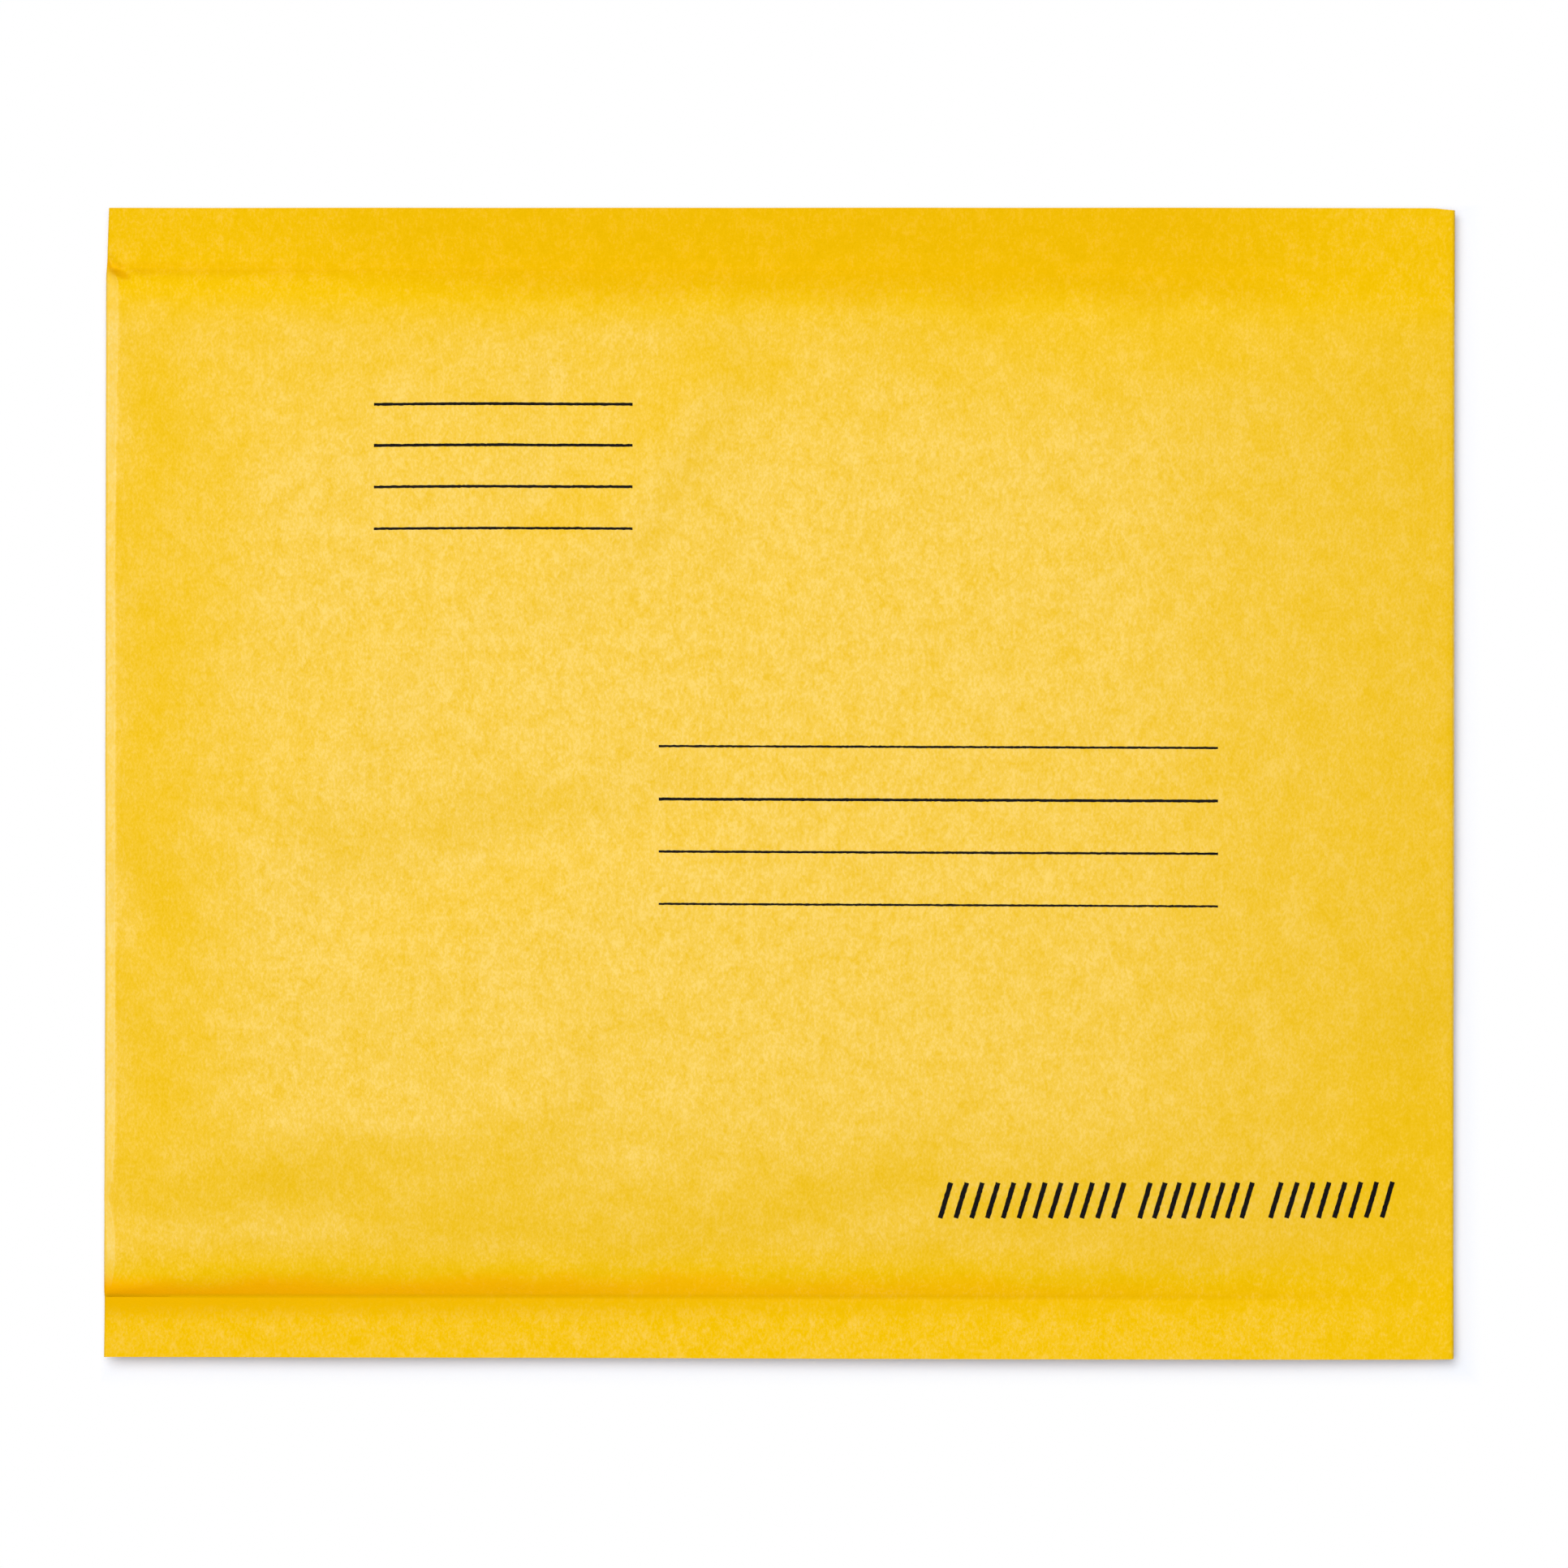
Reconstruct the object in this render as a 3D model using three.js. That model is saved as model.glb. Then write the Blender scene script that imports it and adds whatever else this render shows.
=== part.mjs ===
// A kraft padded envelope that lies closed on its back, address face up, as one solid.
// Millimetres, +Z up. X runs along the envelope, from the folded bottom end at -X to the flap fold at +X.
// Y runs across it, from seam to seam. The origin is under its middle, on the surface it rests on.

import * as THREE from "three";

// Outline with the flap folded behind
const LENGTH = 216;
const WIDTH = 184;
const CORNER_TAPER = 0.3; // how far each corner draws in beside the flap fold
const CORNER_RUN = 4; // length of that taper

// Side seams, where both sheets are pressed flat
const SEAM_WIDTH = 9.5;
const SEAM_THICKNESS = 0.9;
const LOWER_CREASE = { bottom: 2.6, mouth: 3.7 }; // under the seam's inner edge, at both ends
const UPPER_CREASE = { bottom: 3.2, mouth: 3.6 };
const SEAM_EDGE_LEVEL = 4.7; // under the seam's cut edge

// Padded body
const BODY_HEIGHT = 8;
const FACE_SHOULDER = 33; // from a seam to full height, on the address face
const FACE_FULLNESS = 1.85; // above 1, how much of that rise comes early
const UPPER_WALL = { share: 0.34, mouthShare: 0.28, run: 6.5 }; // part of the rise that is steep
const LOWER_WALL = { share: 0.44, mouthShare: 0.06, run: 6 };
const BACK_SHOULDER = 13; // from a seam to the resting surface, on the back
const BACK_FULLNESS = 0.75; // below 1 is fuller, above 1 is flatter

// Bottom end, where the padded sheet is folded round
const NOSE_HEIGHT = 5.6;
const NOSE_ROLL = 0.6; // how far in from the fold its edge is rounded
const NOSE_RUN = 26; // from the rim to full height
const NOSE_FULLNESS = 1.9;
const NOSE_SHOULDER = 8; // from a seam to the rim's full height
const BACK_NOSE_RUN = 10; // from the fold to the resting surface, on the back
const RIM_WIDTH = 1.8; // flat rim along the fold
const RIM_SLOPE = 0.1; // how far the rim falls inwards, for each millimetre

// Mouth end, where the flap folds behind
const FOLD_THICKNESS = 2.6;
const FOLD_CLEARANCE = 2.1; // under the fold
const FOLD_ROLL = 0.6; // how far in from the fold its edge is rounded
const FACE_MOUTH_RUN = 50; // from the fold to full height, on the address face
const FACE_MOUTH_FULLNESS = 1.5;
const BACK_MOUTH_RUN = 18; // from the fold to the resting surface, on the back

// Flap on the back
const FLAP_LENGTH = 40;
const FLAP_THICKNESS = 0.4;
const FLAP_TAPER = 3; // how far each side draws in from the fold to the free edge
const FLAP_RELIEF = 12; // over which the back comes down to the surface past the free edge

// Swells and dents of the address face. Each follows a line between two places, given as shares of the
// half length towards the flap fold and of the half width towards the upper seam.
const FACE_FORMS = [
  // long slanting dent left of the middle, with a swell on either side
  { from: [-0.65, -0.2], to: [-0.41, -0.11], reach: 8, height: -0.75 },
  { from: [-0.41, -0.11], to: [-0.16, -0.05], reach: 7, height: -0.45 },
  { from: [-0.69, 0.01], to: [-0.57, 0.2], reach: 8, height: 0.4 },
  { from: [-0.48, -0.36], to: [-0.37, -0.52], reach: 9, height: 0.35 },
  // ridge between two dents towards the upper seam, and swells beside them
  { from: [-0.11, 0.7], to: [-0.22, 0.47], reach: 5.5, height: 0.5 },
  { from: [-0.33, 0.67], to: [-0.34, 0.5], reach: 5, height: -0.5 },
  { from: [-0.34, 0.36], to: [-0.31, 0.4], reach: 6, height: 0.3 },
  { from: [-0.01, 0.85], to: [-0.02, 0.76], reach: 5.5, height: -0.45 },
  { from: [-0.04, 0.5], to: [-0.05, 0.37], reach: 6, height: -0.25 },
  { from: [-0.76, 0.52], to: [-0.7, 0.33], reach: 11, height: 0.35 },
  { from: [0.33, 0.86], to: [0.52, 0.84], reach: 7.5, height: -0.55 },
  { from: [0.69, 0.87], to: [0.91, 0.85], reach: 8, height: -0.45 },
  // row of shallow dents beside the bottom fold
  { from: [-0.93, 0.7], to: [-0.91, 0.54], reach: 6, height: -0.45 },
  { from: [-0.92, 0.28], to: [-0.93, 0.11], reach: 6, height: -0.5 },
  { from: [-0.94, -0.17], to: [-0.91, -0.23], reach: 5, height: -0.7 },
  { from: [-0.93, -0.43], to: [-0.92, -0.54], reach: 5, height: -0.45 },
  // hollow above the lower seam, with swells and dents round it
  { from: [-0.96, -0.77], to: [-0.65, -0.78], reach: 6.5, height: -0.75 },
  { from: [-0.56, -0.79], to: [-0.37, -0.8], reach: 5.5, height: -0.45 },
  { from: [-0.76, -0.62], to: [-0.39, -0.61], reach: 6.5, height: 0.4 },
  { from: [-0.25, -0.46], to: [-0.22, -0.61], reach: 5, height: -0.35 },
  { from: [-0.19, -0.83], to: [0.24, -0.7], reach: 6, height: -0.45 },
];

// Dents that reach over the corners beside the flap fold, seams included
const CORNER_FORMS = [
  { from: [0.99, -0.46], to: [0.99, -0.83], reach: 9.5, height: -0.7 },
  { from: [0.99, 0.61], to: [0.99, 0.78], reach: 9, height: -0.4 },
];

// Fineness of the surface
const BODY_ROWS = 19; // rows from the middle to each seam
const ROW_CROWDING = 1.5; // above 1 draws the rows towards the seams
const SEAM_ROWS = 3; // rows from a seam's inner edge to the flap's side
const BODY_COLUMNS = 36; // columns from the rim to the flap's free edge
const FLAP_COLUMNS = 9; // columns over the flap
const NOSE_COLUMNS = 3; // columns round the bottom fold
const FOLD_COLUMNS = 3; // columns round the flap fold

const KRAFT_COLOR = 0xf0bb3c;

const clamp01 = (t) => THREE.MathUtils.clamp(t, 0, 1);
const ease = (t) => THREE.MathUtils.smoothstep(t, 0, 1);
const { lerp } = THREE.MathUtils;

// Distances from the bottom fold and from the flap fold
const fromBottom = (x) => x + LENGTH / 2;
const fromFold = (x) => LENGTH / 2 - x;

// 0 at an edge, rising ever more gently to 1
function filled(t, fullness) {
  return 1 - (1 - clamp01(t)) ** fullness;
}

// The same on the address face, with a steep wall at the seam that grows or fades along it
function faceShoulder(inward, wall, along) {
  const steep = filled(inward / wall.run, 2);
  const share = lerp(wall.share, wall.mouthShare, along);
  return lerp(filled(inward / FACE_SHOULDER, FACE_FULLNESS), steep, share);
}

// The same on the back, rounding over to 1
function backShoulder(inward) {
  return filled(inward / BACK_SHOULDER, 2) ** BACK_FULLNESS;
}

// Quarter circle: 0 at a fold, 1 once the distance from it reaches the radius
function roll(distance, radius) {
  const left = 1 - clamp01(distance / radius);
  return Math.sqrt(1 - left * left);
}

// Half width to the cut edge, and to the flap's side
function outerHalf(x) {
  return WIDTH / 2 - CORNER_TAPER * (1 - ease(fromFold(x) / CORNER_RUN));
}

function flapHalf(x) {
  const drawnIn = FLAP_TAPER * clamp01(fromFold(x) / FLAP_LENGTH);
  return WIDTH / 2 - CORNER_TAPER - drawnIn;
}

const bodyHalf = WIDTH / 2 - SEAM_WIDTH;
const flapEdge = LENGTH / 2 - FLAP_LENGTH;
const alongSeam = (x) => clamp01(x / LENGTH + 0.5);

// Underside of the pressed seam, carried on across the body as a reference level
function seamLevel(x, y) {
  const side = y > 0 ? UPPER_CREASE : LOWER_CREASE;
  const crease = lerp(side.bottom, side.mouth, alongSeam(x));
  return lerp(crease, SEAM_EDGE_LEVEL, clamp01((Math.abs(y) - bodyHalf) / SEAM_WIDTH));
}

function formsHeight(x, y, forms) {
  const place = new THREE.Vector3(x, y, 0);
  const nearest = new THREE.Vector3();
  let height = 0;
  for (const form of forms) {
    const [start, end] = [form.from, form.to].map(
      ([along, across]) => new THREE.Vector3((along * LENGTH) / 2, (across * WIDTH) / 2, 0),
    );
    new THREE.Line3(start, end).closestPointToPoint(place, true, nearest);
    height += form.height * Math.exp(-((place.distanceTo(nearest) / form.reach) ** 2));
  }
  return height;
}

// Address face, before the ends are rounded
function faceHeight(x, y) {
  const mouth = filled(fromFold(x) / FACE_MOUTH_RUN, FACE_MOUTH_FULLNESS);
  const inside = fromBottom(x) - RIM_WIDTH;
  const rise = filled(inside / NOSE_RUN, NOSE_FULLNESS);
  const inward = ((bodyHalf - Math.abs(y)) * FACE_SHOULDER) / lerp(NOSE_SHOULDER, FACE_SHOULDER, rise);
  const padding = mouth * faceShoulder(inward, y > 0 ? UPPER_WALL : LOWER_WALL, alongSeam(x));
  const pressed = lerp(FOLD_CLEARANCE + FOLD_THICKNESS, seamLevel(x, y) + SEAM_THICKNESS, mouth);
  const rim = RIM_SLOPE * Math.max(-inside, 0);
  const full = lerp(NOSE_HEIGHT, BODY_HEIGHT, rise) + rim + formsHeight(x, y, FACE_FORMS);
  return lerp(pressed, full, padding) + formsHeight(x, y, CORNER_FORMS);
}

// Back panel without the flap, before the ends are rounded
function backHeight(x, y) {
  const mouth = ease(fromFold(x) / BACK_MOUTH_RUN);
  const nose = ease(fromBottom(x) / BACK_NOSE_RUN);
  const padding = mouth * nose * backShoulder(bodyHalf - Math.abs(y));
  const pressed = lerp(FOLD_CLEARANCE + FLAP_THICKNESS, seamLevel(x, y), mouth);
  const underFlap = FLAP_THICKNESS * ease(1 - (flapEdge - x) / FLAP_RELIEF);
  return lerp(pressed, underFlap, padding);
}

// Both sheets close on their middle level as they round the two folds
function closed(x, y, height) {
  const face = faceHeight(x, y);
  const back = backHeight(x, y);
  const middle = (face + back) / 2;
  const radius = (face - back) / 2;
  const bottomRoll = roll(fromBottom(x), Math.min(radius, NOSE_ROLL));
  const foldRoll = roll(fromFold(x), Math.min(radius, FOLD_ROLL));
  return lerp(middle, height, bottomRoll * foldRoll);
}

// Columns along X. Those of the two folds follow an arc, the rim ends on a column of its own, and the
// flap's free edge takes two, one for the back panel and one for the flap.
function columnPlaces() {
  const quarter = Math.PI / 2;
  const places = [];
  for (let i = 0; i < NOSE_COLUMNS; i += 1) {
    const x = NOSE_ROLL * (1 - Math.cos((quarter * i) / NOSE_COLUMNS)) - LENGTH / 2;
    places.push({ x, overFlap: false });
  }
  places.push({ x: NOSE_ROLL - LENGTH / 2, overFlap: false });
  for (let i = 0; i <= BODY_COLUMNS; i += 1) {
    places.push({ x: lerp(RIM_WIDTH - LENGTH / 2, flapEdge, i / BODY_COLUMNS), overFlap: false });
  }
  for (let i = 0; i <= FLAP_COLUMNS; i += 1) {
    places.push({ x: lerp(flapEdge, LENGTH / 2 - FOLD_ROLL, i / FLAP_COLUMNS), overFlap: true });
  }
  for (let i = FOLD_COLUMNS - 1; i >= 0; i -= 1) {
    const x = LENGTH / 2 - FOLD_ROLL * (1 - Math.cos((quarter * i) / FOLD_COLUMNS));
    places.push({ x, overFlap: true });
  }
  return places;
}

// Rows along Y. The flap's side takes two, one for the flap and one for the seam beside it.
function rowPlaces() {
  const upper = [];
  for (let j = 1; j <= BODY_ROWS; j += 1) {
    const y = bodyHalf * (1 - (1 - j / BODY_ROWS) ** ROW_CROWDING);
    upper.push({ half: () => y, overFlap: true });
  }
  for (let j = 1; j <= SEAM_ROWS; j += 1) {
    upper.push({ half: (x) => lerp(bodyHalf, flapHalf(x), j / SEAM_ROWS), overFlap: true });
  }
  upper.push({ half: flapHalf, overFlap: false });
  upper.push({ half: outerHalf, overFlap: false });
  const lower = upper.map(({ half, overFlap }) => ({ half: (x) => -half(x), overFlap })).reverse();
  return [...lower, { half: () => 0, overFlap: true }, ...upper];
}

// Collects triangles, with equal corners merged and triangles of no area left out
class Surface {
  constructor() {
    this.corners = [];
    this.faces = [];
    this.numbers = new Map();
  }

  corner(x, y, z) {
    const key = [x, y, z].map((value) => value.toFixed(4)).join();
    if (!this.numbers.has(key)) {
      this.numbers.set(key, this.numbers.size);
      this.corners.push(x, y, z);
    }
    return this.numbers.get(key);
  }

  triangle(a, b, c) {
    if (a !== b && b !== c && c !== a) {
      this.faces.push(a, b, c);
    }
  }

  quad(a, b, c, d) {
    this.triangle(a, b, c);
    this.triangle(a, c, d);
  }

  geometry() {
    const geometry = new THREE.BufferGeometry();
    geometry.setAttribute("position", new THREE.Float32BufferAttribute(this.corners, 3));
    geometry.setIndex(this.faces);
    geometry.computeVertexNormals();
    return geometry;
  }
}

function envelopeGeometry() {
  const surface = new Surface();
  const columns = columnPlaces();
  const rows = rowPlaces();
  const sheet = (height) =>
    columns.map((column) => rows.map((row) => height(column.x, row.half(column.x), column, row)));
  const face = sheet((x, y) => surface.corner(x, y, closed(x, y, faceHeight(x, y))));
  const back = sheet((x, y, column, row) => {
    const flap = column.overFlap && row.overFlap ? FLAP_THICKNESS : 0;
    return surface.corner(x, y, closed(x, y, backHeight(x, y) - flap));
  });
  const last = rows.length - 1;
  for (let i = 0; i + 1 < columns.length; i += 1) {
    for (let j = 0; j < last; j += 1) {
      surface.quad(face[i][j], face[i + 1][j], face[i + 1][j + 1], face[i][j + 1]);
      surface.quad(back[i][j], back[i][j + 1], back[i + 1][j + 1], back[i + 1][j]);
    }
    surface.quad(back[i][0], back[i + 1][0], face[i + 1][0], face[i][0]);
    surface.quad(face[i][last], face[i + 1][last], back[i + 1][last], back[i][last]);
  }
  return surface.geometry();
}

const kraft = new THREE.MeshStandardMaterial({ color: KRAFT_COLOR, roughness: 0.75, metalness: 0 });
const envelope = new THREE.Mesh(envelopeGeometry(), kraft);
envelope.name = "padded_envelope";

const model = new THREE.Group();
model.add(envelope);

export default model;
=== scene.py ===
import math
from typing import NamedTuple

import bpy
import numpy as np
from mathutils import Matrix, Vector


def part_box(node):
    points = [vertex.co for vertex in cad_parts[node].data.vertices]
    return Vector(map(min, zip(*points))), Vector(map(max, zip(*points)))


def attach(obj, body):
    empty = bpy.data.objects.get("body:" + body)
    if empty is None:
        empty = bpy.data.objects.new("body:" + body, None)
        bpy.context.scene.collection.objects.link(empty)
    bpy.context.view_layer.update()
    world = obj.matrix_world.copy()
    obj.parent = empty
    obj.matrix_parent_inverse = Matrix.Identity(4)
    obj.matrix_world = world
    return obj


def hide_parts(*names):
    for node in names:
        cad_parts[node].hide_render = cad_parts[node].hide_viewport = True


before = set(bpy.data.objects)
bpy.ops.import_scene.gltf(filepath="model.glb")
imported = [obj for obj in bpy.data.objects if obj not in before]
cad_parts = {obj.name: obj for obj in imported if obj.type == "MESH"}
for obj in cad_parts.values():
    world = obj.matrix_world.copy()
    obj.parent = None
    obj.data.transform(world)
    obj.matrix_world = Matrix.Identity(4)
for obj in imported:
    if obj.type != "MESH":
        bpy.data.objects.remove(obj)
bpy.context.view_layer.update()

# A kraft padded envelope, closed and lying on its back. The model's frame: X runs from the rolled bottom
# fold (-X) to the flap fold (+X), Y from seam to seam, Z up out of the address face. Shapes are worked
# out in millimetres and turned into metres when a mesh is made.

MM = 0.001
NODE = "padded_envelope"
BODY = "root"

low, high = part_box(NODE)
LENGTH = (high.x - low.x) / MM
WIDTH = (high.y - low.y) / MM

# Side seams
SEAM_WIDTH = 9.5
SEAM_THICKNESS = 0.9
LOWER_CREASE_LEVELS = (2.6, 3.7)  # at the bottom fold and at the flap fold
UPPER_CREASE_LEVELS = (3.2, 3.6)
SEAM_EDGE_LEVEL = 4.7
SEAM_HOLLOW = 1.25  # how much later than a straight line the seam lifts
SEAM_WAVE = 0.22  # how far the pressed seams wander up and down
SEAM_WAVELENGTH = 46.0
SEAM_WAVE_LINE = 40.0  # where across the waves are read, so that the two seams differ
SEAM_WAVE_SEED = 5
SHEET_THICKNESS = 0.24  # each paper face seen at a cut edge
FILM_RECESS = 0.22  # how far the film between them stays back
RECESS_FROM = 0.3  # share of the seam's thickness at which the film begins to stay back
RECESS_RUN = 0.5

# Padded body
BODY_HEIGHT = 8.0
FACE_SHOULDER = 33.0
FACE_FULLNESS = 1.85
BACK_SHOULDER = 13.0
BACK_FULLNESS = 0.75

# Rolled bottom end
NOSE_HEIGHT = 5.6
NOSE_RUN = 24.0
NOSE_FULLNESS = 1.6
NOSE_SHOULDER = 8.0
BACK_NOSE_RUN = 10.0
RIM_WIDTH = 1.8
RIM_SLOPE = 0.1

# Mouth end
FOLD_THICKNESS = 2.6
FOLD_CLEARANCE = 2.1
FACE_MOUTH_RUN = 50.0
FACE_MOUTH_FULLNESS = 1.5
BACK_MOUTH_RUN = 18.0
FOLD_ROLL = 0.6

# Flap on the back
FLAP_LENGTH = 40.0
FLAP_THICKNESS = 0.4
FLAP_TAPER = 3.0
FLAP_RELIEF = 12.0
LOWER_CORNER_TAPER = 0.05
UPPER_CORNER_TAPER = 0.3
CORNER_RUN = 4.0

BODY_HALF = WIDTH / 2 - SEAM_WIDTH
FLAP_EDGE = LENGTH / 2 - FLAP_LENGTH

# Unevenness of handled kraft paper: height, wavelength and seed of each kind of wave
UNEVENNESS = ((0.05, 13, 11), (0.02, 6, 12))
EVEN_EDGE = 4.0  # distance from a seam over which it sets in

# Fineness of the mesh
BODY_ROWS = 70
ROW_CROWDING = 1.25
SEAM_ROWS = 16
SEAM_CROWDING = 1.3
RIM_FADE = 20.0
RIM_COLUMNS = 14
RIM_CROWDING = 2.0
BODY_COLUMNS = 170
BODY_CROWDING = 1.2
FLAP_COLUMNS = 36
FOLD_COLUMNS = 6
SEAM_LINES = SEAM_ROWS + 2  # rows of corners beyond the padded body, with the flap's side and the cut edge


class Wall(NamedTuple):
    """Steep rise of the address face beside a seam, at the bottom fold and at the flap fold."""

    share: tuple  # of the body's height
    run: tuple


UPPER_WALL = Wall((0.34, 0.28), (5.5, 8.0))
LOWER_WALL = Wall((0.44, 0.06), (6.0, 6.0))


class Form(NamedTuple):
    """A swell (height above 0) or dent along a line on the address face, in millimetres."""

    start: tuple
    end: tuple
    reach: float
    height: float


FACE_FORMS = [
    # long slanting dent left of the middle, with a swell on either side
    Form((-70, -18.5), (-44, -10), 8, -0.75),
    Form((-44, -10), (-17, -4.5), 7, -0.5),
    Form((-75, 1), (-62, 18), 8, 0.55),
    Form((-52, -33), (-40, -48), 9, 0.45),
    # ridge between two dents towards the upper seam, and swells beside them
    Form((-12, 64), (-24, 43), 5.5, 0.75),
    Form((-36, 62), (-37, 46), 5.5, -0.6),
    Form((-37, 33), (-34, 37), 6, 0.45),
    Form((-1, 78), (-2, 70), 5.5, -0.6),
    Form((-4, 46), (-5, 34), 6, -0.4),
    Form((-82, 48), (-76, 30), 11, 0.45),
    Form((30, 81), (60, 79), 10, -1.0),
    Form((74, 81), (100, 79), 10, -0.8),
    # row of shallow dents beside the bottom fold
    Form((-103, 72), (-102, 54), 5.5, -0.45),
    Form((-103, 26), (-103, 10), 5, -0.4),
    Form((-103, -16), (-101, -21), 5, -0.6),
    Form((-103, -43), (-102, -50), 4.5, -0.35),
    # hollow above the lower seam, with swells and dents round it
    Form((-104, -68), (-70, -69), 5.5, -0.55),
    Form((-60, -74), (-40, -75), 5, -0.25),
    Form((-82, -57), (-42, -54), 6.5, 0.4),
    Form((-27, -42), (-24, -56), 5, -0.4),
    Form((-20, -79), (26, -65), 6, -0.55),
    Form((30, -71), (50, -72), 4.5, -0.4),
]

# Forms that reach over the seams and the folds too
EDGE_FORMS = [
    # creases where the upper seam meets the bottom fold
    Form((-108.0, 84.0), (-105.0, 81.4), 0.8, -0.6),
    Form((-108.0, 81.0), (-106.6, 80.0), 0.7, 0.4),
    Form((-105.6, 82.9), (-102.0, 80.6), 0.9, 0.3),
    Form((-104.6, 79.4), (-99.0, 77.4), 1.4, 0.25),
    # corners beside the flap fold
    Form((107, -42), (107, -76), 9.5, -1.0),
    Form((107, 56), (107, 72), 9, -0.4),
]

# Width of the rim along the bottom fold, from the lower seam to the upper one
RIM_PLACES = [-82.5, -79.5, -77, -72, -68, -66, -63, -58, -45, -10, 30, 60, 74, 80, 82.5]
RIM_WIDTHS = [0.9, 1.5, 1.9, 1.8, 1.2, 0.7, 1.4, 1.8, 1.8, 1.7, 1.6, 1.8, 2.1, 2.1, 1.1]

# Share of its half height that the roll reaches, by distance from the fold in rim widths
ROLL_PLACES = [0.0, 0.02, 0.05, 0.1, 0.17, 0.3]
ROLL_HEIGHTS = [0.0, 0.36, 0.64, 0.84, 0.95, 1.0]

# How far the real outline stays inside the box, on each edge
LEFT_PLACES = [-92, -82, -70, -30, 60, 80, 82.5, 84.5, 92]
LEFT_INSETS = [0.13, 0.01, 0.09, 0.22, 0.35, 0.38, 0.42, 0.53, 0.93]
RIGHT_INSETS = (0.2, 0.0)  # at the lower and the upper corner
LOWER_INSETS = (0.58, 0.06)  # at the bottom fold and at the flap fold
INSET_FADE = 40.0


def clamp01(t):
    return np.clip(t, 0.0, 1.0)


def ease(t):
    t = clamp01(t)
    return t * t * (3 - 2 * t)


def lerp(a, b, t):
    return a + (b - a) * t


def filled(t, fullness):
    """0 at an edge, rising ever more gently to 1."""
    return 1 - (1 - clamp01(t)) ** fullness


def face_shoulder(inward, wall, along):
    steep = filled(inward / lerp(*wall.run, along), 2)
    return lerp(filled(inward / FACE_SHOULDER, FACE_FULLNESS), steep, lerp(*wall.share, along))


def roll(distance, radius):
    left = 1 - clamp01(distance / radius)
    return np.sqrt(1 - left * left)


def ripples(x, y, wavelength, seed, waves=14):
    """Smooth irregular waves of about unit height, the same on each run."""
    rng = np.random.default_rng(seed)
    total = 0.0
    for _ in range(waves):
        angle = rng.uniform(0, 2 * math.pi)
        pitch = wavelength * rng.uniform(0.7, 1.8)
        phase = rng.uniform(0, 2 * math.pi)
        along = x * math.cos(angle) + y * math.sin(angle)
        total = total + np.sin(2 * math.pi * along / pitch + phase)
    return total / math.sqrt(waves)


def from_bottom(x):
    return x + LENGTH / 2


def from_fold(x):
    return LENGTH / 2 - x


def outer_half(x, taper):
    return WIDTH / 2 - taper * (1 - ease(from_fold(x) / CORNER_RUN))


def flap_half(x, taper):
    return WIDTH / 2 - taper - FLAP_TAPER * clamp01(from_fold(x) / FLAP_LENGTH)


def seam_level(x, y):
    outward = clamp01((np.abs(y) - BODY_HALF) / SEAM_WIDTH)
    side = np.where(y > 0, 1.0, -1.0)
    edge = SEAM_EDGE_LEVEL + SEAM_WAVE * ripples(x, SEAM_WAVE_LINE * side, SEAM_WAVELENGTH, SEAM_WAVE_SEED)
    along = clamp01(x / LENGTH + 0.5)
    crease = np.where(y > 0, lerp(*UPPER_CREASE_LEVELS, along), lerp(*LOWER_CREASE_LEVELS, along))
    return lerp(crease, edge, outward**SEAM_HOLLOW)


def forms_height(x, y, forms):
    height = 0.0
    for form in forms:
        (ax, ay), (bx, by) = form.start, form.end
        run = (bx - ax) ** 2 + (by - ay) ** 2
        t = clamp01(((x - ax) * (bx - ax) + (y - ay) * (by - ay)) / run)
        away = (x - lerp(ax, bx, t)) ** 2 + (y - lerp(ay, by, t)) ** 2
        height = height + form.height * np.exp(-away / form.reach**2)
    return height


def unevenness(x, y):
    return sum(height * ripples(x, y, wavelength, seed) for height, wavelength, seed in UNEVENNESS)


def face_height(x, y):
    """Address face, before the ends are rounded."""
    mouth = filled(from_fold(x) / FACE_MOUTH_RUN, FACE_MOUTH_FULLNESS)
    inside = from_bottom(x) - rim_width(y)
    rise = filled(inside / NOSE_RUN, NOSE_FULLNESS)
    inward = BODY_HALF - np.abs(y)
    spread = inward * FACE_SHOULDER / lerp(NOSE_SHOULDER, FACE_SHOULDER, rise)
    along = clamp01(x / LENGTH + 0.5)
    upper = face_shoulder(spread, UPPER_WALL, along)
    padding = mouth * np.where(y > 0, upper, face_shoulder(spread, LOWER_WALL, along))
    pressed = lerp(FOLD_CLEARANCE + FOLD_THICKNESS, seam_level(x, y) + SEAM_THICKNESS, mouth)
    rim = RIM_SLOPE * np.maximum(-inside, 0)
    full = lerp(NOSE_HEIGHT, BODY_HEIGHT, rise) + rim + forms_height(x, y, FACE_FORMS)
    small = forms_height(x, y, EDGE_FORMS) + unevenness(x, y) * ease(inward / EVEN_EDGE)
    return lerp(pressed, full, padding) + small


def back_height(x, y):
    """Back panel without the flap, before the ends are rounded."""
    mouth = ease(from_fold(x) / BACK_MOUTH_RUN)
    nose = ease(from_bottom(x) / BACK_NOSE_RUN)
    padding = mouth * nose * filled((BODY_HALF - np.abs(y)) / BACK_SHOULDER, 2) ** BACK_FULLNESS
    pressed = lerp(FOLD_CLEARANCE + FLAP_THICKNESS, seam_level(x, y), mouth)
    under_flap = FLAP_THICKNESS * ease(1 - (FLAP_EDGE - x) / FLAP_RELIEF)
    return lerp(pressed, under_flap, padding)


def rim_width(y):
    return np.interp(y, RIM_PLACES, RIM_WIDTHS)


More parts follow.
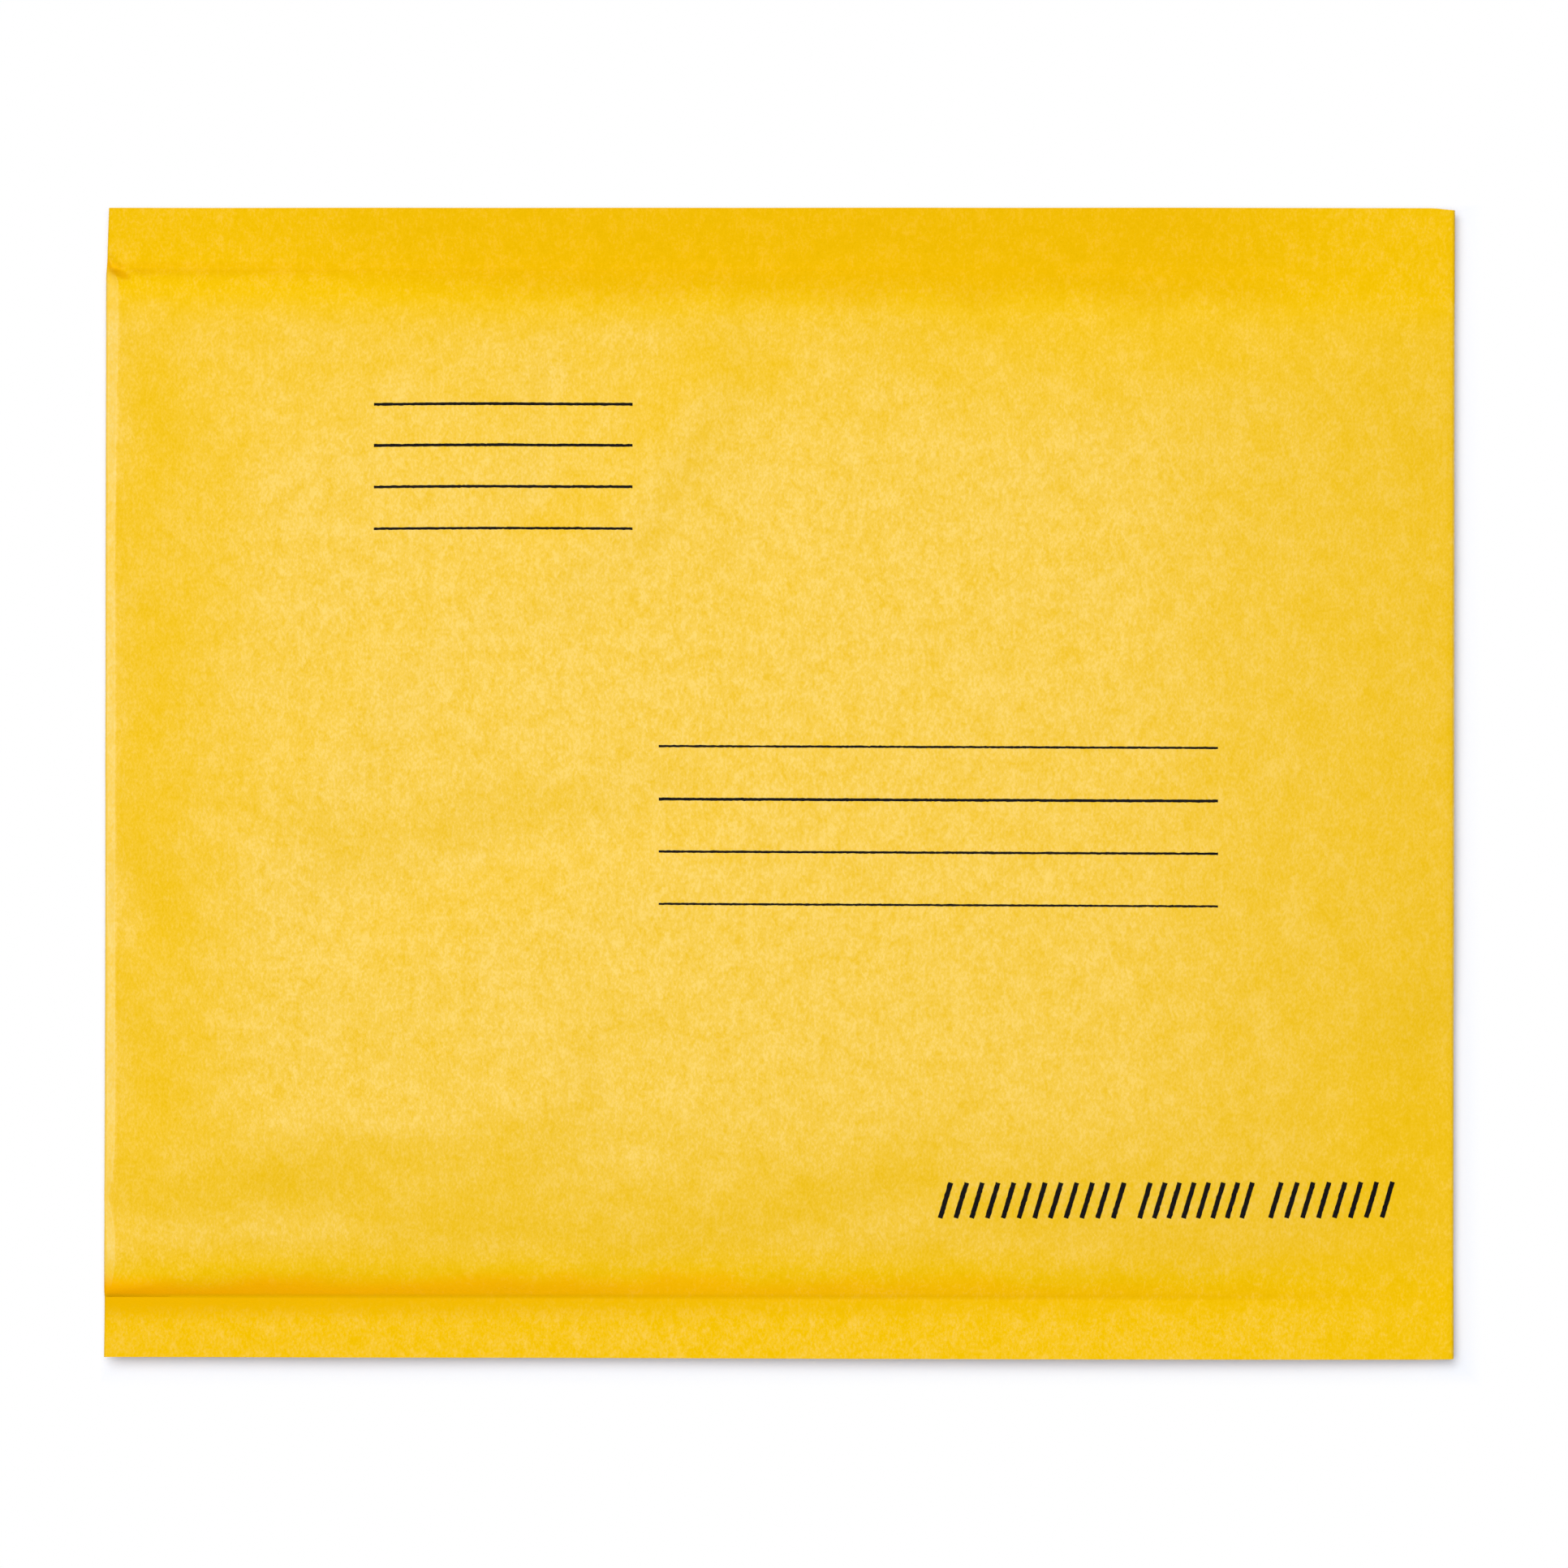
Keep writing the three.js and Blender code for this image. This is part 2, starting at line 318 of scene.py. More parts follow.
def bottom_roll(x, y, radius):
    padded = np.interp(from_bottom(x) / rim_width(y), ROLL_PLACES, ROLL_HEIGHTS)
    pressed = roll(from_bottom(x), radius)
    return lerp(pressed, padded, clamp01((BODY_HALF - np.abs(y)) / NOSE_SHOULDER))


def closed(x, y, height):
    """Both sheets close on their middle level as they round the two folds."""
    face = face_height(x, y)
    back = back_height(x, y)
    middle = (face + back) / 2
    radius = (face - back) / 2
    fold_roll = roll(from_fold(x), np.minimum(radius, FOLD_ROLL))
    return lerp(middle, height, bottom_roll(x, y, radius) * fold_roll)


def drawn_in(x, y):
    """The real outline, which is not quite the box's."""
    left = np.interp(y, LEFT_PLACES, LEFT_INSETS) * (1 - ease(from_bottom(x) / INSET_FADE))
    upward = clamp01(y / WIDTH + 0.5)
    right = lerp(*RIGHT_INSETS, upward) * (1 - ease(from_fold(x) / INSET_FADE))
    along = clamp01(x / LENGTH + 0.5)
    lower = lerp(*LOWER_INSETS, along) * (1 - ease((y + WIDTH / 2) / INSET_FADE))
    return x + left - right, y + lower


def column_places():
    """X of each column for a rim of even width, and whether the flap lies under it."""
    rim = RIM_WIDTH * (np.arange(RIM_COLUMNS) / RIM_COLUMNS) ** RIM_CROWDING
    rim_edge = RIM_WIDTH - LENGTH / 2
    body = lerp(rim_edge, FLAP_EDGE, np.linspace(0, 1, BODY_COLUMNS + 1) ** BODY_CROWDING)
    flap = np.linspace(FLAP_EDGE, LENGTH / 2 - FOLD_ROLL, FLAP_COLUMNS + 1)
    turn = np.linspace(math.pi / 2, 0, FOLD_COLUMNS + 1)[1:]
    fold = LENGTH / 2 - FOLD_ROLL * (1 - np.cos(turn))
    x = np.concatenate([rim - LENGTH / 2, body, flap, fold])
    over_flap = np.arange(len(x)) >= len(rim) + len(body)
    return x, over_flap


def along_rim(x, y):
    """Moves the columns so that one of them follows the rim's inner edge."""
    distance = from_bottom(x)
    width = rim_width(y)
    beyond = distance + (width - RIM_WIDTH) * (1 - ease((distance - RIM_WIDTH) / RIM_FADE))
    return np.where(distance <= RIM_WIDTH, distance * width / RIM_WIDTH, beyond) - LENGTH / 2


def half_rows(x, taper):
    """Distance from the middle of each row of one half, at each column."""
    body = BODY_HALF * (1 - (1 - np.arange(1, BODY_ROWS + 1) / BODY_ROWS) ** ROW_CROWDING)
    seam = (np.arange(1, SEAM_ROWS + 1) / SEAM_ROWS) ** SEAM_CROWDING
    flap_side = flap_half(x, taper)[:, None]
    return np.concatenate(
        [
            np.repeat(body[None, :], len(x), 0),
            lerp(BODY_HALF, flap_side, seam[None, :]),
            flap_side,
            outer_half(x, taper)[:, None],
        ],
        axis=1,
    )


def row_places(x):
    """Y of each row at each column, and whether the flap lies under it."""
    lower = -half_rows(x, LOWER_CORNER_TAPER)[:, ::-1]
    middle = np.zeros((len(x), 1))
    y = np.concatenate([lower, middle, half_rows(x, UPPER_CORNER_TAPER)], axis=1)
    over_flap = np.ones(y.shape[1], bool)
    over_flap[[0, 1, -2, -1]] = False
    return y, over_flap


class Surface:
    """Collects faces, with equal corners merged and faces of no area left out."""

    def __init__(self):
        self.corners = []
        self.numbers = {}
        self.faces = []
        self.materials = []

    def corner(self, x, y, z):
        key = (round(float(x), 4), round(float(y), 4), round(float(z), 4))
        if key not in self.numbers:
            self.numbers[key] = len(self.corners)
            self.corners.append((key[0] * MM, key[1] * MM, key[2] * MM))
        return self.numbers[key]

    def grid(self, x, y, z):
        flat = [self.corner(*place) for place in zip(x.ravel(), y.ravel(), z.ravel(), strict=True)]
        return np.array(flat).reshape(z.shape)

    def face(self, corners, material=0):
        kept = list(dict.fromkeys(corners))
        if len(kept) > 2:
            self.faces.append(kept)
            self.materials.append(material)

    def patch(self, grid, material=0):
        """Faces of a grid of corners, seen from the side where its first axis turns left to its second."""
        for i in range(grid.shape[0] - 1):
            for j in range(grid.shape[1] - 1):
                ring = (grid[i, j], grid[i + 1, j], grid[i + 1, j + 1], grid[i, j + 1])
                self.face(ring, material)

    def build(self, name, materials, sharp_from=45):
        mesh = bpy.data.meshes.new(name)
        mesh.from_pydata(self.corners, [], self.faces)
        for material in materials:
            mesh.materials.append(material)
        mesh.polygons.foreach_set("material_index", self.materials)
        mesh.polygons.foreach_set("use_smooth", [True] * len(self.faces))
        mesh.set_sharp_from_angle(angle=math.radians(sharp_from))
        mesh.update()
        made = bpy.data.objects.new(name, mesh)
        bpy.context.scene.collection.objects.link(made)
        return made


def cut_edge(surface, x, y, face, back, side):
    """The seam's cut edge: two paper faces with the pressed film set back between them."""
    thickness = face - back
    paper = np.minimum(SHEET_THICKNESS, thickness / 3)
    recess = FILM_RECESS * ease((thickness / SEAM_THICKNESS - RECESS_FROM) / RECESS_RUN)
    inner = y - side * recess
    levels = [
        (y, back),
        (y, back + paper),
        (inner, back + paper),
        (inner, face - paper),
        (y, face - paper),
        (y, face),
    ]
    lines = np.array([surface.grid(x, across, z) for across, z in levels])
    for level, material in enumerate((0, 0, 1, 0, 0)):
        pair = lines[level : level + 2]
        surface.patch(pair.T if side < 0 else pair, material)


def make_envelope(paper, film, rim_highlight_paper):
    surface = Surface()
    columns, flap_columns = column_places()
    y, flap_rows = row_places(columns)
    x = along_rim(np.repeat(columns[:, None], y.shape[1], 1), y)
    flap = FLAP_THICKNESS * (flap_columns[:, None] & flap_rows[None, :])
    face_z = closed(x, y, face_height(x, y))
    back_z = closed(x, y, back_height(x, y) - flap)
    shown_x, shown_y = drawn_in(x, y)
    face = surface.grid(shown_x, shown_y, face_z)
    back = surface.grid(shown_x, shown_y, back_z)
    surface.patch(face[RIM_COLUMNS:])
    rim = face[: RIM_COLUMNS + 1]
    surface.patch(rim[:, : SEAM_LINES + 1])
    # the rim's paper is painted paler, as a highlight on the rounded fold
    surface.patch(rim[:, SEAM_LINES:-SEAM_LINES], 2)
    surface.patch(rim[:, -SEAM_LINES - 1 :])
    surface.patch(back.T)
    for row, side in ((0, -1), (-1, 1)):
        edge = (shown_x[:, row], shown_y[:, row], face_z[:, row], back_z[:, row])
        cut_edge(surface, *edge, side)
    return surface.build("envelope", [paper, film, rim_highlight_paper])


# Printed lines: left end, right end, and the widths they are printed in
RETURN_LEFT = -64.6
RETURN_LENGTH = 41.2
RETURN_HEIGHTS = (60.5, 53.93, 47.32, 40.66)
RETURN_WEIGHTS = (0.46, 0.46, 0.44, 0.4)
RETURN_BOW = 0.12
ADDRESS_LEFT = -19.25
ADDRESS_LENGTH = 89.1
ADDRESS_HEIGHTS = (6.07, -2.36, -10.72, -19.05)
ADDRESS_WEIGHTS = (0.36, 0.46, 0.38, 0.35)
ADDRESS_DROPS = (-0.3, -0.33, -0.36, -0.41)

# Hatched marks under the address lines: left and right end of each group
HATCH_GROUPS = ((25.6, 54.9), (57.4, 75.4), (78.3, 97.9))
HATCH_LOW = -69.2
HATCH_HIGH = -63.5
HATCH_PITCH = 2.45
HATCH_WEIGHT = 0.78
HATCH_SLANT = 1.7

INK_ABOVE = 0.03
INK_BELOW = 0.05
INK_STEP = 0.35
INK_ROUGHNESS = 0.022
RETURN_SEED = 21
ADDRESS_SEED = 22
HATCH_SEED = 23


def paper_z(x, y):
    """Height of the finished address face under a printed place."""
    shift_x, shift_y = drawn_in(x, y)
    x, y = 2 * x - shift_x, 2 * y - shift_y
    return closed(x, y, face_height(x, y))


def add_stroke(surface, start, end, weight, bow, rng):
    """A thin slab of ink along a line, with the ragged sides of a print on kraft."""
    start, end = np.array(start, float), np.array(end, float)
    run = end - start
    length = math.hypot(*run)
    count = max(4, round(length / INK_STEP))
    t = np.linspace(0, 1, count + 1)
    across = np.array([-run[1], run[0]]) / length
    middle = start + t[:, None] * run + (bow * 4 * t * (1 - t))[:, None] * across
    sides = []
    for side in (-0.5, 0.5):
        ragged = side * weight + rng.normal(0, INK_ROUGHNESS, len(t))
        sides.append(middle + ragged[:, None] * across)
    x, y = np.moveaxis(np.array(sides), -1, 0)
    z = paper_z(x, y)
    top = surface.grid(x, y, z + INK_ABOVE)
    base = surface.grid(x, y, z - INK_BELOW)
    surface.patch(top.T)
    surface.patch(base)
    surface.patch(np.array([base[0], top[0]]).T)
    surface.patch(np.array([top[1], base[1]]).T)
    surface.face((top[0, 0], top[1, 0], base[1, 0], base[0, 0]))
    surface.face((top[1, -1], top[0, -1], base[0, -1], base[1, -1]))


def make_return_lines(ink):
    surface = Surface()
    rng = np.random.default_rng(RETURN_SEED)
    for y, weight in zip(RETURN_HEIGHTS, RETURN_WEIGHTS, strict=True):
        start, end = (RETURN_LEFT, y), (RETURN_LEFT + RETURN_LENGTH, y)
        add_stroke(surface, start, end, weight, RETURN_BOW, rng)
    return surface.build("return_lines", [ink])


def make_address_lines(ink):
    surface = Surface()
    rng = np.random.default_rng(ADDRESS_SEED)
    lines = zip(ADDRESS_HEIGHTS, ADDRESS_WEIGHTS, ADDRESS_DROPS, strict=True)
    for y, weight, drop in lines:
        start, end = (ADDRESS_LEFT, y), (ADDRESS_LEFT + ADDRESS_LENGTH, y + drop)
        add_stroke(surface, start, end, weight, 0.0, rng)
    return surface.build("address_lines", [ink])


def make_hatching(ink):
    surface = Surface()
    rng = np.random.default_rng(HATCH_SEED)
    for left, right in HATCH_GROUPS:
        count = round((right - left - HATCH_SLANT) / HATCH_PITCH) + 1
        for x in np.linspace(left, right - HATCH_SLANT, count):
            end = (x + HATCH_SLANT, HATCH_HIGH)
            add_stroke(surface, (x, HATCH_LOW), end, HATCH_WEIGHT, 0.0, rng)
    return surface.build("hatched_marks", [ink])


NOISE_RANGE = (0.3, 0.7)  # that the noise texture mostly keeps to


class Nodes:
    """Short hand for one material's or world's node tree."""

    def __init__(self, owner):
        owner.use_nodes = True
        self.tree = owner.node_tree
        self.tree.nodes.clear()

    def add(self, kind, settings=None, **inputs):
        node = self.tree.nodes.new(kind)
        for name, value in (settings or {}).items():
            setattr(node, name, value)
        for name, value in inputs.items():
            self.put(node, name.replace("_", " "), value)
        return node

    def put(self, node, name, value):
        socket = node.inputs[int(name)] if name.isdigit() else node.inputs[name]
        if isinstance(value, bpy.types.NodeSocket):
            self.tree.links.new(value, socket)
        else:
            socket.default_value = value

    def math(self, operation, a, b=0.0):
        node = self.add("ShaderNodeMath", {"operation": operation})
        self.put(node, "0", a)
        self.put(node, "1", b)
        return node.outputs[0]

    def product(self, *factors):
        result = factors[0]
        for factor in factors[1:]:
            result = self.math("MULTIPLY", result, factor)
        return result

    def largest(self, *values):
        result = values[0]
        for value in values[1:]:
            result = self.math("MAXIMUM", result, value)
        return result

    def noise(self, place, scale, detail, roughness):
        settings = {"noise_dimensions": "3D"}
        node = self.add("ShaderNodeTexNoise", settings, Vector=place, Scale=scale, Detail=detail)
        self.put(node, "Roughness", roughness)
        return node.outputs["Fac"]

    def stretched(self, place, scale):
        return self.add("ShaderNodeMapping", Vector=place, Scale=scale).outputs[0]

    def scaled(self, value, given, wanted, smooth=False):
        kind = "SMOOTHSTEP" if smooth else "LINEAR"
        node = self.add("ShaderNodeMapRange", {"interpolation_type": kind}, Value=value)
        for name, number in zip(("From Min", "From Max", "To Min", "To Max"), (*given, *wanted), strict=True):
            self.put(node, name, number)
        return node.outputs["Result"]

    def rise(self, value, span, top=1.0):
        """0 before a span, rising smoothly over it."""
        return self.scaled(value, span, (0.0, top), smooth=True)

    def fall(self, value, span, rest=0.0):
        """1 before a span, falling smoothly over it."""
        return self.scaled(value, span, (1.0, rest), smooth=True)

    def wander(self, place, scale, reach):
        """A slow drift to either side, for an edge that isn't straight."""
        return self.scaled(self.noise(place, scale, 2.0, 0.5), NOISE_RANGE, (-reach, reach))

    def mixed(self, share, a, b, kind):
        """Float inputs of a mix node sit at 2 and 3, colours at 6 and 7."""
        node = self.add("ShaderNodeMix", {"data_type": kind}, **{"0": share})
        first = 2 if kind == "FLOAT" else 6
        self.put(node, str(first), a)
        self.put(node, str(first + 1), b)
        return node.outputs[0 if kind == "FLOAT" else 2]

    def bump(self, strength, distance, height, **inputs):
        inputs = {"Strength": strength, "Distance": distance, "Height": height, **inputs}
        return self.add("ShaderNodeBump", **inputs).outputs[0]

    def ramp(self, value, stops):
        node = self.add("ShaderNodeValToRGB", Fac=value)
        ramp = node.color_ramp
        stops = list(stops)
        while len(ramp.elements) < len(stops):
            ramp.elements.new(0.5)
        for element, (position, color) in zip(ramp.elements, stops, strict=True):
            element.position = position
            element.color = (*color, 1)
        return node.outputs["Color"]


# Kraft paper, linear, from where its fibres clump to where they lie thin, with the places of these colours
# on the mottling: the sheet, its rim along the bottom fold (paler, a painted highlight), and the upper seam
# (darker, partly its own colour and partly painted shade)
KRAFT_COLORS = ((0.855, 0.515, 0.0006), (0.905, 0.548, 0.0024), (0.95, 0.595, 0.04))
# Rim along the bottom fold: paler colours, a painted highlight where the rounded fold catches the light
RIM_HIGHLIGHT_COLORS = ((0.91, 0.57, 0.035), (0.925, 0.595, 0.055), (0.945, 0.63, 0.095))
KRAFT_STOPS = (0.38, 0.52, 0.64)
# Upper seam: deeper colours, partly the pressed seam's own and partly painted shade
UPPER_SEAM_TONE_AND_SHADE_COLORS = ((0.8, 0.455, 0.0004), (0.835, 0.474, 0.002), (0.88, 0.5, 0.012))
UPPER_SEAM_STOPS = (0.38, 0.5, 0.62)
# Painted shade: a more orange, darker wall above the lower seam stands in for its shade and bounce light, and
# a darker foot for the shade in its crease
LOWER_WALL_SHADE_COLOR = (0.955, 0.446, 0.0002, 1)
LOWER_FOOT_SHADE_COLOR = (0.79, 0.436, 0.0002, 1)
# Painted shade in the creases at the upper left corner
CRUMPLE_SHADE_COLOR = (0.76, 0.39, 0.0002, 1)
SHEEN_TINT = (0.45, 0.86, 1.0, 1)
KRAFT_ROUGHNESS = 0.37
PRESSED_ROUGHNESS = 0.5

# Gloss over a span of the mottling, on the padded body and on the pressed seams
KRAFT_GLOSS_FROM = (0.4, 0.565)
KRAFT_GLOSS = (0.23, 0.83)
PRESSED_GLOSS_FROM = (0.44, 0.6)
PRESSED_GLOSS = (0.52, 0.24)  # at most, on the lower and on the upper seam
SEAMS_AT = (-0.08, 0.08)

FIBRE_STRETCH = (1.0, 0.6, 1.0)
FIBRE_BUMP = 0.00004
CLUMP_BUMP = 0.00008
BUMP_STRENGTH = 0.35


class Grain(NamedTuple):
    """One size of the paper's mottling."""

    scale: float
    detail: float
    roughness: float
    share: float


FIBRE = Grain(2700, 3.0, 0.6, 0.45)
CLUMP = Grain(760, 3.0, 0.6, 0.3)
CLOUD = Grain(230, 4.0, 0.65, 0.25)

# Spans over which the paper's looks set in (FROM) and fade out (TO), in metres from the middle: across the
# envelope, or along it where the name says so. Pairs of strengths and shifts belong to the ends of a span.
ENDS_ALONG = (-LENGTH / 2 * MM, LENGTH / 2 * MM)

# pressed seams
UPPER_PRESSED_FROM = (0.0745, 0.0815)
UPPER_PRESSED_ANYWAY = (0.0715, 0.08)  # whatever the shift, so that the seam is pressed all along
LOWER_PRESSED_FROM = (0.0715, 0.08)
PRESSED_SHIFT_ALONG = (-0.105, 0.045)
PRESSED_SHIFT = (-0.0045, 0.0016)
PRESSED_DRIFT = (22, 0.004)  # scale and reach of its wandering edge, above
PRESSED_WANDER = (60, 0.0012)  # and below

# wall above the lower seam, and the seam's inner edge at its foot: painted shade and painted bounce light on
# the wall, painted shade in the crease at its foot
CREASE_WANDER = (70, 0.0012)
WALL_SHIFT_ALONG = (-0.01, 0.05)
WALL_SHIFT = (0.0, 0.0015)
WALL_FROM = (0.077, 0.0805)
WALL_TO = (0.0814, 0.0832)
WALL_STRENGTH = (1.0, 0.0)
FOOT_FROM = (0.0812, 0.0819)
FOOT_TO = (0.0828, 0.0868)
FOOT_REST = 0.25  # share of the foot's colour that is left out to the cut edge
DULL_WALL_FROM = (0.076, 0.0795)
DULL_WALL_TO = (0.0828, 0.0862)
DULL_WALL_STRENGTH = (1.0, 0.7)

# upper seam, darker partly in its own colour and partly as painted shade, and the painted shade of the crease
# along its inner edge
UPPER_LINE_FROM = (0.0805, 0.082)
UPPER_LINE_TO = (0.083, 0.0845)
UPPER_LINE_STRENGTH = (0.9, 0.0)
UPPER_SEAM_FROM = (0.0745, 0.0805)
UPPER_SEAM_SHIFT_ALONG = (-0.105, -0.02)
UPPER_SEAM_SHIFT = (-0.0042, 0.0)
DULL_UPPER_SEAM_FROM = (0.078, 0.083)
UPPER_SEAM_START_ALONG = (-0.1, -0.035)
UPPER_SEAM_START = (0.42, 1.0)
UPPER_SEAM_END_ALONG = (0.06, 0.1)
UPPER_SEAM_END = (1.0, 0.25)
UPPER_SEAM_STRENGTH = 0.8

# duller lower right corner and upper right shoulder
DULL_CORNER_ALONG = (0.08, 0.099)
DULL_CORNER_FROM = (0.036, 0.058)
DULL_CORNER_STRENGTH = 0.5
DULL_SHOULDER_ALONG = (0.015, 0.05)
DULL_SHOULDER_FROM = (0.058, 0.074)
DULL_SHOULDER_STRENGTH = 0.3

# painted shade in the creases at the upper left corner: middle, half length, half width and angle of each
CRUMPLES = (
    ((-0.1073, 0.0833), 0.0019, 0.0005, -72),
    ((-0.1054, 0.0816), 0.0026, 0.0009, -26),
)
CRUMPLE_FULL = 0.7  # share of the way in to a crease's middle at which it is darkest
CRUMPLE_STRENGTH = 0.85


class PaperLooks(NamedTuple):
    """How far a place on the paper has each look, between 0 and 1; the wall, foot and crumpled looks are
    painted shade, the upper seam partly so.
    """

    pressed: bpy.types.NodeSocket
    wall: bpy.types.NodeSocket
    foot: bpy.types.NodeSocket
    upper_seam: bpy.types.NodeSocket
    crumpled: bpy.types.NodeSocket
    dull: bpy.types.NodeSocket


def pressed_share(nodes, place, x, y):
    shift = nodes.scaled(x, PRESSED_SHIFT_ALONG, PRESSED_SHIFT)
    drifting = nodes.math("ADD", nodes.math("ADD", y, nodes.wander(place, *PRESSED_DRIFT)), shift)
    upper = nodes.largest(nodes.rise(drifting, UPPER_PRESSED_FROM), nodes.rise(y, UPPER_PRESSED_ANYWAY))
    downward = nodes.math("SUBTRACT", nodes.wander(place, *PRESSED_WANDER), y)
    return nodes.largest(upper, nodes.rise(downward, LOWER_PRESSED_FROM))


def lower_seam_shares(nodes, x, downward, wander):
    """The wall's painted shade and bounce light, the painted shade at its foot, and the dullness of both."""
    shift = nodes.scaled(x, WALL_SHIFT_ALONG, WALL_SHIFT)
    across = nodes.math("SUBTRACT", nodes.math("ADD", downward, wander), shift)
    strength = nodes.scaled(x, ENDS_ALONG, WALL_STRENGTH)
    wall = nodes.product(nodes.rise(across, WALL_FROM), nodes.fall(downward, WALL_TO), strength)
    foot = nodes.product(nodes.rise(downward, FOOT_FROM), nodes.fall(downward, FOOT_TO, FOOT_REST), strength)
    dullness = nodes.scaled(x, ENDS_ALONG, DULL_WALL_STRENGTH)
    dull = nodes.product(nodes.rise(across, DULL_WALL_FROM), nodes.fall(downward, DULL_WALL_TO), dullness)
    return wall, foot, dull


def upper_seam_shares(nodes, x, y, wander):
    """The seam's deeper colours, partly its own and partly painted shade, with the painted shade of its
    crease, and its dullness.
    """
    strength = nodes.scaled(x, ENDS_ALONG, UPPER_LINE_STRENGTH)
    # painted shade in the crease along the seam's inner edge
    line = nodes.product(nodes.rise(y, UPPER_LINE_FROM), nodes.fall(y, UPPER_LINE_TO), strength)
    start = nodes.scaled(x, UPPER_SEAM_START_ALONG, UPPER_SEAM_START, smooth=True)
    end = nodes.scaled(x, UPPER_SEAM_END_ALONG, UPPER_SEAM_END, smooth=True)
    ends = nodes.product(start, end)
    upward = nodes.math("ADD", y, wander)
    shift = nodes.scaled(x, UPPER_SEAM_SHIFT_ALONG, UPPER_SEAM_SHIFT, smooth=True)
    deep = nodes.product(nodes.rise(nodes.math("ADD", upward, shift), UPPER_SEAM_FROM), ends)
    dull = nodes.product(nodes.rise(upward, DULL_UPPER_SEAM_FROM), ends)
    return nodes.product(nodes.largest(deep, line), UPPER_SEAM_STRENGTH), nodes.largest(dull, line)


def dull_corner_share(nodes, x, y, downward):
    corner_below = nodes.rise(downward, DULL_CORNER_FROM, DULL_CORNER_STRENGTH)
    corner = nodes.product(nodes.rise(x, DULL_CORNER_ALONG), corner_below)
    shoulder_above = nodes.rise(y, DULL_SHOULDER_FROM, DULL_SHOULDER_STRENGTH)
    shoulder = nodes.product(nodes.rise(x, DULL_SHOULDER_ALONG), shoulder_above)
    return nodes.largest(corner, shoulder)


# Painted shade: dark spots in the creases at the upper left corner, darkest towards their middles
def crumpled_share(nodes, place):
    spots = []
    for (x, y), length, width, angle in CRUMPLES:
        inputs = {"Location": (x, y, 0), "Rotation": (0, 0, math.radians(angle)), "Scale": (length, width, 1)}
        near = nodes.add("ShaderNodeMapping", {"vector_type": "TEXTURE"}, Vector=place, **inputs)
        spot = nodes.add("ShaderNodeTexGradient", {"gradient_type": "SPHERICAL"}, Vector=near.outputs[0])
        spots.append(spot.outputs["Fac"])
    return nodes.rise(nodes.largest(*spots), (0.0, CRUMPLE_FULL), CRUMPLE_STRENGTH)


def paper_looks(nodes, place, x, y):
    downward = nodes.product(y, -1.0)
    wander = nodes.wander(place, *CREASE_WANDER)
    wall, foot, dull_wall = lower_seam_shares(nodes, x, downward, wander)
    upper_seam, dull_seam = upper_seam_shares(nodes, x, y, wander)
    crumpled = crumpled_share(nodes, place)
    dull = nodes.largest(dull_wall, dull_seam, dull_corner_share(nodes, x, y, downward), crumpled)
    return PaperLooks(pressed_share(nodes, place, x, y), wall, foot, upper_seam, crumpled, dull)


def paper_color(nodes, mottle, looks, colors):
    sheet = nodes.ramp(mottle, zip(KRAFT_STOPS, colors, strict=True))
    # painted shade and bounce light on the lower wall, then painted shade at its foot
    color = nodes.mixed(looks.wall, sheet, LOWER_WALL_SHADE_COLOR, "RGBA")
    color = nodes.mixed(looks.foot, color, LOWER_FOOT_SHADE_COLOR, "RGBA")
    # the upper seam's deeper colours, partly painted shade
    seam = nodes.ramp(mottle, zip(UPPER_SEAM_STOPS, UPPER_SEAM_TONE_AND_SHADE_COLORS, strict=True))
    color = nodes.mixed(looks.upper_seam, color, seam, "RGBA")
    # painted shade in the creases at the upper left corner
    return nodes.mixed(looks.crumpled, color, CRUMPLE_SHADE_COLOR, "RGBA")


def paper_gloss(nodes, mottle, y, looks):
    gloss = nodes.scaled(mottle, KRAFT_GLOSS_FROM, KRAFT_GLOSS)
    pressed_gloss = nodes.scaled(mottle, PRESSED_GLOSS_FROM, (0.0, nodes.scaled(y, SEAMS_AT, PRESSED_GLOSS)))
    gloss = nodes.mixed(looks.pressed, gloss, pressed_gloss, "FLOAT")
    return nodes.mixed(looks.dull, gloss, 0.0, "FLOAT")


def kraft_material(name, colors):
    material = bpy.data.materials.new(name)
    nodes = Nodes(material)
    place = nodes.add("ShaderNodeTexCoord").outputs["Object"]
    along_grain = nodes.stretched(place, FIBRE_STRETCH)
    fibre = nodes.noise(along_grain, *FIBRE[:3])
    clump = nodes.noise(along_grain, *CLUMP[:3])
    cloud = nodes.noise(place, *CLOUD[:3])
    fine = nodes.math("ADD", nodes.product(fibre, FIBRE.share), nodes.product(clump, CLUMP.share))
    mottle = nodes.math("ADD", fine, nodes.product(cloud, CLOUD.share))
    x, y, _ = nodes.add("ShaderNodeSeparateXYZ", Vector=place).outputs
    looks = paper_looks(nodes, place, x, y)
    bump = nodes.bump(BUMP_STRENGTH, FIBRE_BUMP, fibre)
    bump = nodes.bump(BUMP_STRENGTH, CLUMP_BUMP, clump, Normal=bump)
    color = paper_color(nodes, mottle, looks, colors)
    roughness = nodes.scaled(looks.pressed, (0.0, 1.0), (KRAFT_ROUGHNESS, PRESSED_ROUGHNESS))
    shader = nodes.add("ShaderNodeBsdfPrincipled", Base_Color=color, Roughness=roughness, Normal=bump)
    nodes.put(shader, "Specular IOR Level", paper_gloss(nodes, mottle, y, looks))
    nodes.put(shader, "Specular Tint", SHEEN_TINT)
    nodes.add("ShaderNodeOutputMaterial", Surface=shader.outputs[0])
    return material


